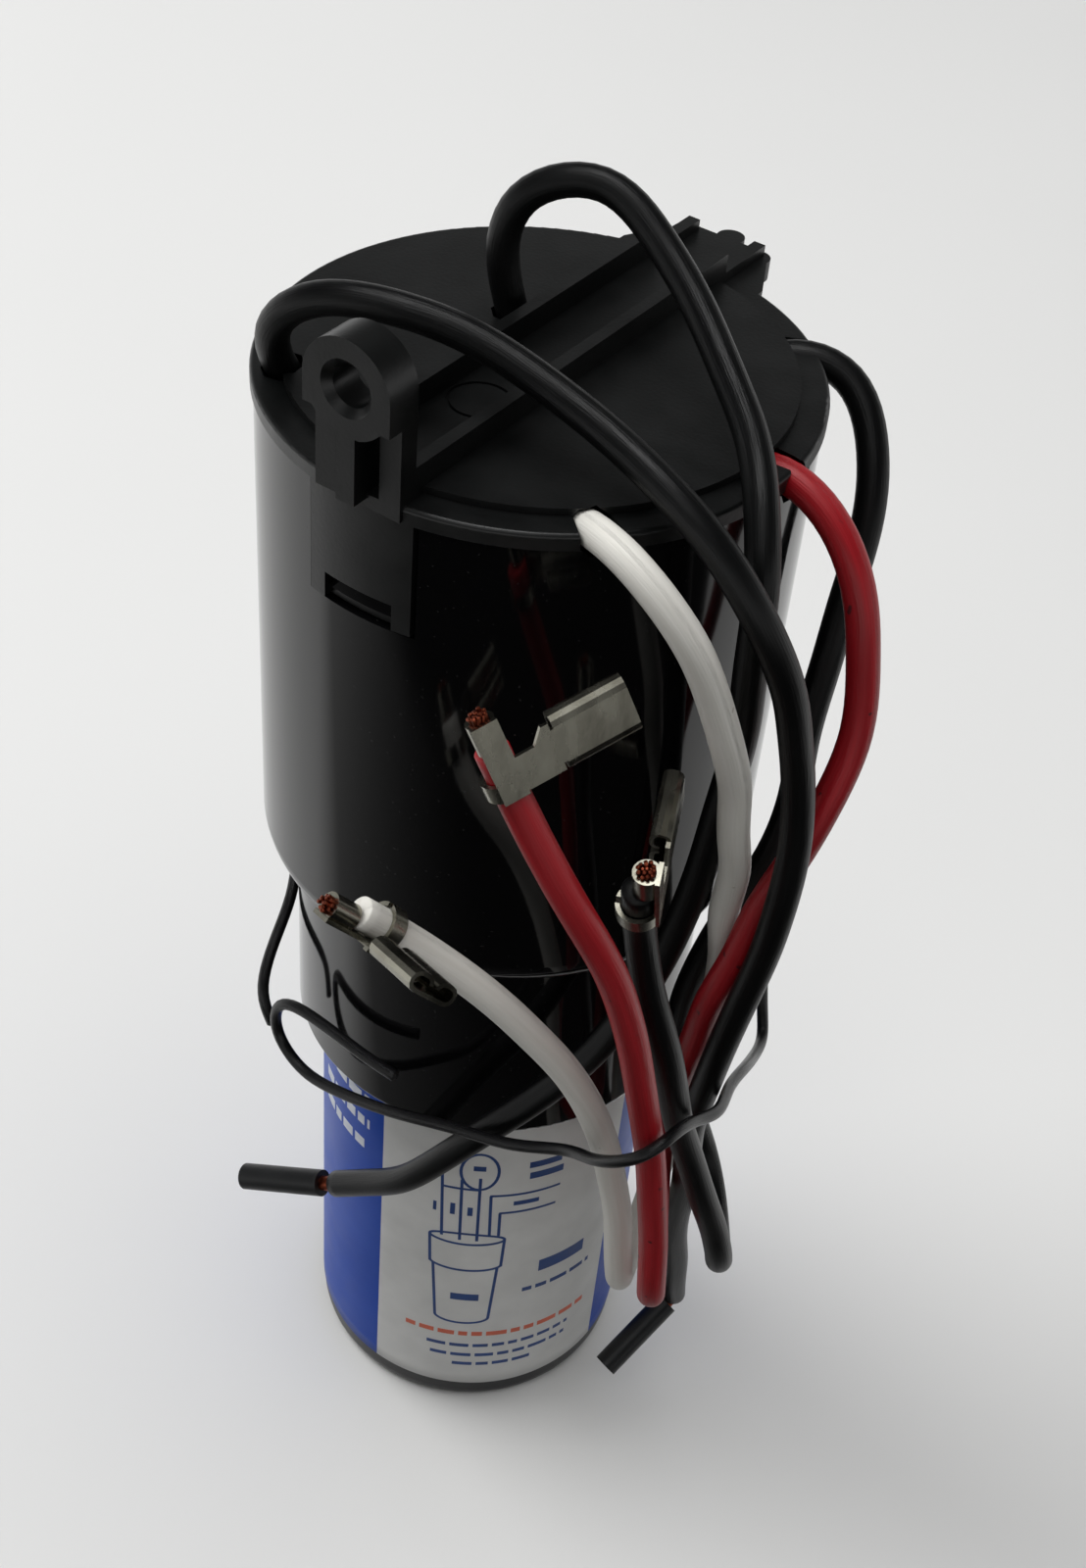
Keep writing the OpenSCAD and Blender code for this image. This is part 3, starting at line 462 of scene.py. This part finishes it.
def bar_row(lo, hi, z, height, seed):
    """A row of bars of uneven length at one height, with even gaps, from one angle to another."""
    rng = np.random.default_rng(seed)
    bars, a = [], lo
    while a < hi - 1:
        b = min(a + rng.uniform(*BAR_LENGTHS), hi)
        bars.append(([(a, z), (b, z)], height))
        a = b + BAR_GAP
    return bars


def print_ink(name, strokes):
    """One colour of ink: all its strokes in one piece."""
    skins = [stroke(path, width) for path, width in strokes]
    piece = piece_from(name, *joined(skins), smooth=False)
    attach(piece, "root")
    print(name, "strokes:", len(strokes))
    return piece


# %% Sketch and bars
cup = [
    [(-71.2, 33.2), (-70.6, 28.0)], [(-44.9, 33.2), (-45.4, 28.0)],
    arc((-58, 33.2), 13.2, 1.0, 0, 360), arc((-58, 28.3), 12.6, 1.1, 180, 360),
    [(-69.4, 27.7), (-67.6, 17.8)], [(-46.6, 27.7), (-48.2, 17.8)],
    arc((-57.9, 17.8), 9.7, 1.2, 180, 360),
]
wires = [
    [(-67, 33.4), (-68, 44.6)], [(-60.6, 33.0), (-61.2, 44.0)], [(-54.6, 33.0), (-55, 44.5)],
    arc((-55.4, 45.6), 6.4, 3.1, 0, 360), [(-68, 42.4), (-55, 42.4)],
    [(-50.4, 34), (-51, 41.4), (-26.5, 41.4)], [(-47.2, 34), (-47.4, 38.2), (-27.5, 38.2)],
]
bars = [
    (-70.6, -69.4, 38.5, 1.6), (-64.6, -62.9, 38.6, 2.0), (-58.6, -56.8, 38.4, 1.5),
    (-62.4, -52.2, 21.9, 1.25), (-57.6, -53.4, 46.2, 0.8), (-38.6, -27, 46.3, 1.0),
    (-38.2, -26, 44.4, 1.1), (-43, -34, 39.8, 0.7), (-31, -12, 26.6, 2.1),
]
sketch = [(line, PEN) for line in cup + wires]
sketch += [([(lo, z), (hi, z)], height) for lo, hi, z, height in bars]
for lo, hi, z, height, seed in [
    (-36.5, -8, 22.6, 0.7, 3), (-70, -15, 11.9, 0.6, 5), (-68.5, -16, 9.9, 0.6, 7), (-60, -30, 8.0, 0.6, 9),
]:
    sketch += bar_row(lo, hi, z, height, seed)
white_bars = [bar_row(-126, -97, z, 1.5, seed) for z, seed in ((50.5, 13), (46.6, 15), (42.7, 17))]
blue_ink = print_ink("ink_blue", sketch)
orange_ink = print_ink("ink_orange", bar_row(-78.5, -8, 14.4, 0.8, 11))
white_ink = print_ink("ink_white", sum(white_bars, []))

# %% [markdown]
# ## Materials
# Each finish could have a node tree of its own, but most of them differ only in their numbers,
# so they start from one recipe: a base colour that drifts a little from place to place, a
# roughness that drifts with it, and a fine bump for the grain of the surface. Patterns read
# Object coordinates, in metres, so a scale of 900 gives a grain of about a millimetre.

# %% Nodes
def srgb(r, g, b):
    """Screen colour, 0 to 255, to the linear values that a shader takes."""
    c = np.array([r, g, b]) / 255
    return [*np.where(c <= 0.04045, c / 12.92, ((c + 0.055) / 1.055) ** 2.4).tolist(), 1.0]


def start(name):
    """A new material: its tree, its one shader, and the coordinates that its patterns read."""
    material = bpy.data.materials.new(name)
    material.use_nodes = True
    tree = material.node_tree
    tree.nodes.clear()
    out = tree.nodes.new("ShaderNodeOutputMaterial")
    shader = tree.nodes.new("ShaderNodeBsdfPrincipled")
    tree.links.new(shader.outputs[0], out.inputs[0])
    where = tree.nodes.new("ShaderNodeTexCoord")
    return material, tree, shader, where


def noise(tree, where, scale, detail=3.0, socket="Object", stretch=None):
    """Cloudy values between 0 and 1; a small stretch draws the clouds out in that direction."""
    n = tree.nodes.new("ShaderNodeTexNoise")
    n.inputs["Scale"].default_value = scale
    n.inputs["Detail"].default_value = detail
    source = where.outputs[socket]
    if stretch is not None:
        m = tree.nodes.new("ShaderNodeMapping")
        m.inputs["Scale"].default_value = stretch
        tree.links.new(source, m.inputs["Vector"])
        source = m.outputs[0]
    tree.links.new(source, n.inputs["Vector"])
    return n.outputs["Fac"]


def span(tree, value, low, high, lo=0.3, hi=0.7):
    """Straight ramp: low where the value is lo or less, high where it is hi or more."""
    m = tree.nodes.new("ShaderNodeMapRange")
    m.inputs["From Min"].default_value, m.inputs["From Max"].default_value = lo, hi
    m.inputs["To Min"].default_value, m.inputs["To Max"].default_value = low, high
    tree.links.new(value, m.inputs["Value"])
    return m.outputs["Result"]


def mix(tree, factor, a, b):
    """(1 - factor) a + factor b, for colours that are given or come from another node."""
    m = tree.nodes.new("ShaderNodeMix")
    m.data_type = "RGBA"
    for socket, value in ((m.inputs[6], a), (m.inputs[7], b)):
        if isinstance(value, (list, tuple)):
            socket.default_value = value
        else:
            tree.links.new(value, socket)
    tree.links.new(factor, m.inputs[0])
    return m.outputs[2]


def bump(tree, shader, height, distance):
    """Tilts the shading as if the surface stood up by height times distance."""
    b = tree.nodes.new("ShaderNodeBump")
    b.inputs["Distance"].default_value = distance
    b.inputs["Strength"].default_value = 1.0
    tree.links.new(height, b.inputs["Height"])
    tree.links.new(b.outputs[0], shader.inputs["Normal"])


# %% Recipe
MARK_COVER, MARK_EDGE = 0.85, 0.03


def finish(name, light, dark, rough, metal=0.0, drift=60.0, grain=900.0, depth=0.02,
           specular=0.5, stretch=None, socket="Object", marks=None):
    """Drifting colour and roughness, fine grain as bump, and marks where a noise is above a level."""
    material, tree, shader, where = start(name)
    slow = noise(tree, where, drift, 4, socket, stretch)
    base = mix(tree, span(tree, slow, 0, 1), dark, light)
    if marks is not None:
        tone, scale, level = marks
        blots = noise(tree, where, scale, 2, socket)
        base = mix(tree, span(tree, blots, 0, MARK_COVER, level, level + MARK_EDGE), base, tone)
    tree.links.new(base, shader.inputs["Base Color"])
    tree.links.new(span(tree, slow, rough[0], rough[1]), shader.inputs["Roughness"])
    shader.inputs["Metallic"].default_value = metal
    shader.inputs["Specular IOR Level"].default_value = specular
    bump(tree, shader, noise(tree, where, grain, 2, socket, stretch), depth * MM)
    return material


# %% [markdown]
# The mouldings are black, but not the same black. The housing is polished, so it mirrors the
# studio, with a little dust on it; its specks are single peaks of a fine noise, so it has a
# tree of its own. The lid is moulded in a satin tool and shows a fine speckle.

# %% Mouldings
def dusty_gloss(name):
    """Polished black plastic with sparse specks of dust, where a fine noise is above a high level."""
    material, tree, shader, where = start(name)
    specks = span(tree, noise(tree, where, 2600, 1), 0, 1, lo=0.745, hi=0.765)
    slow = noise(tree, where, 45, 4)
    tree.links.new(mix(tree, specks, srgb(8, 8, 9), srgb(44, 44, 44)), shader.inputs["Base Color"])
    tree.links.new(span(tree, slow, 0.045, 0.10), shader.inputs["Roughness"])
    bump(tree, shader, noise(tree, where, 70, 2), 0.012 * MM)
    return material


housing_gloss = dusty_gloss("housing_gloss")
lid_satin = finish("lid_satin", srgb(13, 14, 14), srgb(9, 10, 10), (0.3, 0.4),
    drift=240, grain=2600, depth=0.012)
can_black = finish("can_black", srgb(30, 30, 32), srgb(20, 20, 22), (0.25, 0.4), grain=1800, depth=0.01)
inner_grey = finish("inner_grey", srgb(66, 66, 68), srgb(52, 52, 54), (0.45, 0.6), grain=2200)
phenolic = finish("phenolic", srgb(96, 62, 44), srgb(70, 44, 32), (0.35, 0.5), drift=300, grain=2600)
ceramic = finish("ceramic", srgb(128, 126, 124), srgb(100, 99, 98), (0.6, 0.75), grain=3000)
print("mouldings done")

# %% [markdown]
# Insulation is extruded, so its fine lines run along the lead. A pattern in Object coordinates
# would cut across the bends. The tubes carry their own map, with one direction along the lead,
# and the grain is stretched along it. White and red have a few smudges from handling.

# %% Insulation
ALONG = (0.35, 7.0, 1.0)


def insulation(name, light, dark, rough, marks=None, specular=0.5):
    """The recipe on a cord's own map, drawn out along the cord."""
    return finish(name, light, dark, rough, drift=1.6, grain=9.0, depth=0.035, specular=specular,
        stretch=ALONG, socket="UV", marks=marks)


white_skin = insulation("insulation_white", srgb(224, 222, 216), srgb(212, 210, 202), (0.34, 0.44),
    marks=(srgb(176, 170, 158), 5.0, 0.73))
red_skin = insulation("insulation_red", srgb(166, 15, 28), srgb(136, 10, 20), (0.34, 0.46),
    marks=(srgb(54, 12, 18), 6.0, 0.69))
black_skin = insulation("insulation_black", srgb(9, 10, 10), srgb(6, 6, 7), (0.33, 0.42), specular=0.3)
tie_skin = insulation("tie_coat", srgb(16, 16, 18), srgb(11, 11, 12), (0.24, 0.34))
slug_skin = finish("slug_black", srgb(20, 21, 22), srgb(14, 15, 16), (0.34, 0.46), drift=500, grain=2600)
print("insulation done")

# %% [markdown]
# Metals next. The terminals are brass under a thin coat of tin, dulled a little by the folding
# tool, and the strands are bare copper with a touch of tarnish. A metal shows what it mirrors,
# tinted by its own colour. The studio is bright, so both are darker here than in the hand.

# %% Metals
tin = finish("tinned_brass", srgb(166, 164, 151), srgb(134, 131, 119), (0.2, 0.32), metal=1.0,
    drift=420, grain=1500, depth=0.009, stretch=(1, 1, 0.3))
copper = finish("bare_copper", srgb(176, 92, 66), srgb(104, 48, 34), (0.28, 0.5), metal=1.0,
    drift=1500, grain=4000, depth=0.01)
brass = finish("brass_strip", srgb(214, 176, 98), srgb(180, 140, 70), (0.25, 0.4), metal=1.0,
    drift=300, grain=2000)
steel = finish("tinned_steel", srgb(196, 196, 194), srgb(160, 160, 158), (0.25, 0.42), metal=1.0,
    drift=300, grain=2000)
print("metals done")

# %% [markdown]
# The sleeve's print follows its own map: across is the angle round the can and up is the
# height. The silver panel could be a piece of its own, but it is the same paper, so comparing
# the angle with the panel's middle cuts it out of the blue. The inks are pieces that lie on top.

# %% Print colours
PANEL_MIDDLE, PANEL_HALF = -45.1, 45.5


def sleeve_print(name):
    """Blue, and silver where the angle is within half a panel of the panel's middle."""
    material, tree, shader, where = start(name)
    split = tree.nodes.new("ShaderNodeSeparateXYZ")
    tree.links.new(where.outputs["UV"], split.inputs[0])
    inside = tree.nodes.new("ShaderNodeMath")
    inside.operation = "COMPARE"
    inside.inputs[1].default_value = PANEL_MIDDLE / 360
    inside.inputs[2].default_value = PANEL_HALF / 360
    tree.links.new(split.outputs[0], inside.inputs[0])
    cloud = span(tree, noise(tree, where, 160, 3), 0, 1)
    blue = mix(tree, cloud, srgb(2, 66, 170), srgb(5, 71, 178))
    silver = mix(tree, cloud, srgb(216, 216, 214), srgb(230, 230, 228))
    tree.links.new(mix(tree, inside.outputs[0], blue, silver), shader.inputs["Base Color"])
    tree.links.new(span(tree, noise(tree, where, 90, 3), 0.3, 0.45), shader.inputs["Roughness"])
    shader.inputs["Specular IOR Level"].default_value = 0.14
    bump(tree, shader, noise(tree, where, 55, 2), 0.03 * MM)
    return material


def ink(name, light, dark):
    """The recipe as a thin, even coat."""
    return finish(name, light, dark, (0.35, 0.5), drift=600, grain=3000, depth=0.004)


label_print = sleeve_print("sleeve_print")
ink_finish = {
    blue_ink: ink("ink_blue", srgb(34, 74, 140), srgb(28, 62, 124)),
    orange_ink: ink("ink_orange", srgb(222, 112, 82), srgb(208, 98, 70)),
    white_ink: ink("ink_white", srgb(226, 230, 238), srgb(206, 212, 224)),
}
print("print colours done")

# %% [markdown]
# The record says which material slot each CAD node has, so one table from slot to finish dresses
# them all, hidden insides too. The pieces made here get theirs by name.

# %% Dress every piece
def wear(piece, material):
    """Leaves the piece with this one material."""
    piece.data.materials.clear()
    piece.data.materials.append(material)


slot_finish = {
    "housing_gloss": housing_gloss, "lid_matte": lid_satin, "case_black": can_black, "phenolic": phenolic,
    "label_print": label_print, "inner_plastic": inner_grey, "ceramic": ceramic, "spring_brass": brass,
    "tinned_steel": steel, "lead_white": white_skin, "lead_red": red_skin, "lead_black": slug_skin,
    "tie_coat": tie_skin, "terminal_metal": tin, "copper": copper,
}
for part in frame["record"]["subparts"]:
    wear(nodes[part["node"]], slot_finish[part["material_slot"]])
for name, material in [("white_lead", white_skin), ("red_lead", red_skin), ("black_lead", black_skin),
                       ("supply_lead_a", black_skin), ("supply_lead_b", black_skin), ("tie", tie_skin)]:
    wear(cords[name][0], material)
for piece in strands.values():
    wear(piece, copper)
wear(label, label_print)
for piece, material in ink_finish.items():
    wear(piece, material)

# %% [markdown]
# ## Floor and light
# The part stands on a white sweep. Its bend could be modelled, but a flat floor that fades into a
# pale wall looks the same from every side. The paper is pale to the eye and in mirrors, and a
# darker grey for the light that it throws back up, because the picture's leads are dark
# underneath. Far off it glows a little, so that it meets the wall without a hard line.

# %% Floor
FLOOR_HALF = 3
HAZE, HAZE_FROM, HAZE_TO = 0.28, 0.45, 1.8


def in_studio(x, y, z):
    """The picture's axes, in metres, to the part's frame."""
    return spin_z @ np.array([x, y, z])


def flat_sheet(name, height, corners):
    """Bilinear patch of four corners: (1-s)(1-t)A + s(1-t)B + stC + (1-s)tD, with s and t as its map."""
    c = np.array([in_studio(x, y, height) for x, y in corners], float)
    s, t = np.meshgrid(np.linspace(0, 1, 3), np.linspace(0, 1, 3))
    uv = np.stack([s, t], -1)
    s, t = s[..., None], t[..., None]
    points = (1 - s) * (1 - t) * c[0] + s * (1 - t) * c[1] + s * t * c[2] + (1 - s) * t * c[3]
    piece = piece_from(name, points, grid_faces(3, 3, False), uv)
    piece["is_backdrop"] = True
    return piece


def combine(tree, operation, a, b):
    """A sum, product or the like of two values."""
    m = tree.nodes.new("ShaderNodeMath")
    m.operation = operation
    tree.links.new(a, m.inputs[0])
    tree.links.new(b, m.inputs[1])
    return m.outputs[0]


def shown(tree, path):
    """1 for rays that make a picture: straight to the eye, by way of a mirror, or through glass."""
    direct = combine(tree, "MAXIMUM", path.outputs["Is Camera Ray"], path.outputs["Is Glossy Ray"])
    return combine(tree, "MAXIMUM", direct, path.outputs["Is Transmission Ray"])


def pale_sweep(name):
    """Pale paper, darker to diffuse rays, whose glow for shown rays grows with the distance from the part."""
    material, tree, shader, where = start(name)
    path = tree.nodes.new("ShaderNodeLightPath")
    reach = tree.nodes.new("ShaderNodeVectorMath")
    reach.operation = "LENGTH"
    tree.links.new(where.outputs["Object"], reach.inputs[0])
    haze = span(tree, reach.outputs["Value"], 0.0, HAZE, HAZE_FROM, HAZE_TO)
    tree.links.new(combine(tree, "MULTIPLY", haze, shown(tree, path)), shader.inputs["Emission Strength"])
    shader.inputs["Emission Color"].default_value = (1, 1, 1, 1)
    paper = mix(tree, span(tree, noise(tree, where, 3), 0, 1), srgb(215, 215, 214), srgb(211, 211, 210))
    bounce = mix(tree, path.outputs["Is Diffuse Ray"], paper, srgb(138, 138, 137))
    tree.links.new(bounce, shader.inputs["Base Color"])
    shader.inputs["Roughness"].default_value = 0.65
    return material


square = [(-1, -1), (1, -1), (1, 1), (-1, 1)]
floor = flat_sheet("floor", 0, [(FLOOR_HALF * x, FLOOR_HALF * y) for x, y in square])
wear(floor, pale_sweep("pale_sweep"))
print("floor is", 2 * FLOOR_HALF, "m wide")

# %% [markdown]
# Black plastic shows what it mirrors more than its own colour. With white floor on every side
# the housing would lose its depth, and a darker plastic would mirror just as much. So a black
# card with a faded edge lies in front of it, as studios do for shiny things. Only mirrors see it.

# %% Black card
CARD_UP = 0.0006
CARD_FADE = 0.29


def faded_card(name):
    """Black, and clear toward its left edge: cover = smooth step of s from 0 to CARD_FADE."""
    material, tree, shader, where = start(name)
    split = tree.nodes.new("ShaderNodeSeparateXYZ")
    tree.links.new(where.outputs["UV"], split.inputs[0])
    cover = tree.nodes.new("ShaderNodeMapRange")
    cover.interpolation_type = "SMOOTHSTEP"
    cover.inputs["From Max"].default_value = CARD_FADE
    tree.links.new(split.outputs[0], cover.inputs["Value"])
    tree.links.new(cover.outputs["Result"], shader.inputs["Alpha"])
    tone = span(tree, noise(tree, where, 3), 0, 1)
    tree.links.new(mix(tree, tone, srgb(8, 8, 8), srgb(6, 6, 6)), shader.inputs["Base Color"])
    shader.inputs["Roughness"].default_value = 0.9
    return material


card = flat_sheet("black_card", CARD_UP, [(-0.75, -0.02), (0.9, -0.75), (0.9, -0.15), (-0.06, -0.005)])
wear(card, faded_card("card_black"))
card.visible_camera = card.visible_diffuse = card.visible_shadow = card.visible_transmission = False
print("card laid")

# %% [markdown]
# Daylight comes down from a wide ceiling and the key lamp hangs to the left, so the shadow falls
# to the right and toward us. One lamp could do it all, but its mirror image would draw a hard
# line down every lead. Daylight and key therefore don't show in mirrors, and the spark, a small
# lamp overhead, gives the highlights on the bends and no other light. A weak fill lamp in front
# lifts the shadows.

# %% Lamps
DAYLIGHT, DAYLIGHT_ANGLE, DAYLIGHT_LEAN = 1.9, math.radians(70), math.radians(12)


def soft_lamp(name, place, aim, size, power):
    """A round lamp of a size in metres and a power in watts, facing its aim."""
    lamp = bpy.data.lights.new(name, "AREA")
    lamp.shape = "DISK"
    lamp.size = size
    lamp.energy = power
    holder = bpy.data.objects.new(name, lamp)
    bpy.context.scene.collection.objects.link(holder)
    place, aim = Vector(in_studio(*place)), Vector(in_studio(*aim))
    facing = (place - aim).to_track_quat("Z", "Y").to_matrix().to_4x4()
    holder.matrix_world = Matrix.Translation(place) @ facing
    return holder


key = soft_lamp("key", (-0.75, 0.25, 0.95), (0, 0, 0.05), 0.8, 10.5)
key.visible_glossy = False
spark = soft_lamp("spark", (-0.12, 0.1, 1.2), (0, 0, 0.1), 0.5, 3.0)
spark.visible_diffuse = False
fill = soft_lamp("fill", (-0.2, -0.6, 1.1), (0, 0, 0.05), 0.9, 1.5)

daylight = bpy.data.lights.new("daylight", "SUN")
daylight.angle = DAYLIGHT_ANGLE
daylight.energy = DAYLIGHT
ceiling = bpy.data.objects.new("daylight", daylight)
bpy.context.scene.collection.objects.link(ceiling)
ceiling.matrix_world = Matrix(spin_z.tolist()).to_4x4() @ Matrix.Rotation(DAYLIGHT_LEAN, 4, "Y")
ceiling.visible_glossy = False
print("lamps:", [lamp.name for lamp in (key, spark, fill, ceiling)])

# %% [markdown]
# The lid looks up and back, so it mirrors the sky. An even sky would turn it grey. This one is
# bright low down, more so on the lamp's side, and dim overhead. A pale wall stands low down all
# round, for views from the side. Only rays that make a picture see it, so it adds no light.

# %% Sky
LAMP_SIDE = (-0.7, 0.7, 0.1)

world = bpy.data.worlds.new("studio")
bpy.context.scene.world = world
world.use_nodes = True
sky = world.node_tree
gaze = sky.nodes.new("ShaderNodeTexCoord")
height = sky.nodes.new("ShaderNodeSeparateXYZ")
sky.links.new(gaze.outputs["Generated"], height.inputs[0])
toward = sky.nodes.new("ShaderNodeVectorMath")
toward.operation = "DOT_PRODUCT"
toward.inputs[1].default_value = in_studio(*LAMP_SIDE)
sky.links.new(gaze.outputs["Generated"], toward.inputs[0])
path = sky.nodes.new("ShaderNodeLightPath")

low_down = span(sky, height.outputs[2], 1.0, 0.08, lo=0.05, hi=0.5)
lamp_side = span(sky, toward.outputs["Value"], 0.34, 0.62, lo=-0.6, hi=0.8)
glow = combine(sky, "MULTIPLY", low_down, lamp_side)
low_wall = span(sky, height.outputs[2], 0.74, 0.0, lo=0.12, hi=0.24)
wall = combine(sky, "MULTIPLY", low_wall, shown(sky, path))
background = sky.nodes["Background"]
background.inputs["Color"].default_value = (1, 1, 1, 1)
sky.links.new(combine(sky, "MAXIMUM", glow, wall), background.inputs["Strength"])
print("sky nodes:", len(sky.nodes))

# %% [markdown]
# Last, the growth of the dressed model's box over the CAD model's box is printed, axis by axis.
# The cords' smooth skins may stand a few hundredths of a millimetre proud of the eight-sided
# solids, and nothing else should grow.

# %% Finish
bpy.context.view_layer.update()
cad_size, visual_size = cad_box[1] - cad_box[0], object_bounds()[1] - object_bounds()[0]
print("grown by", [round((b - a) / MM, 2) for a, b in zip(cad_size, visual_size)], "mm")
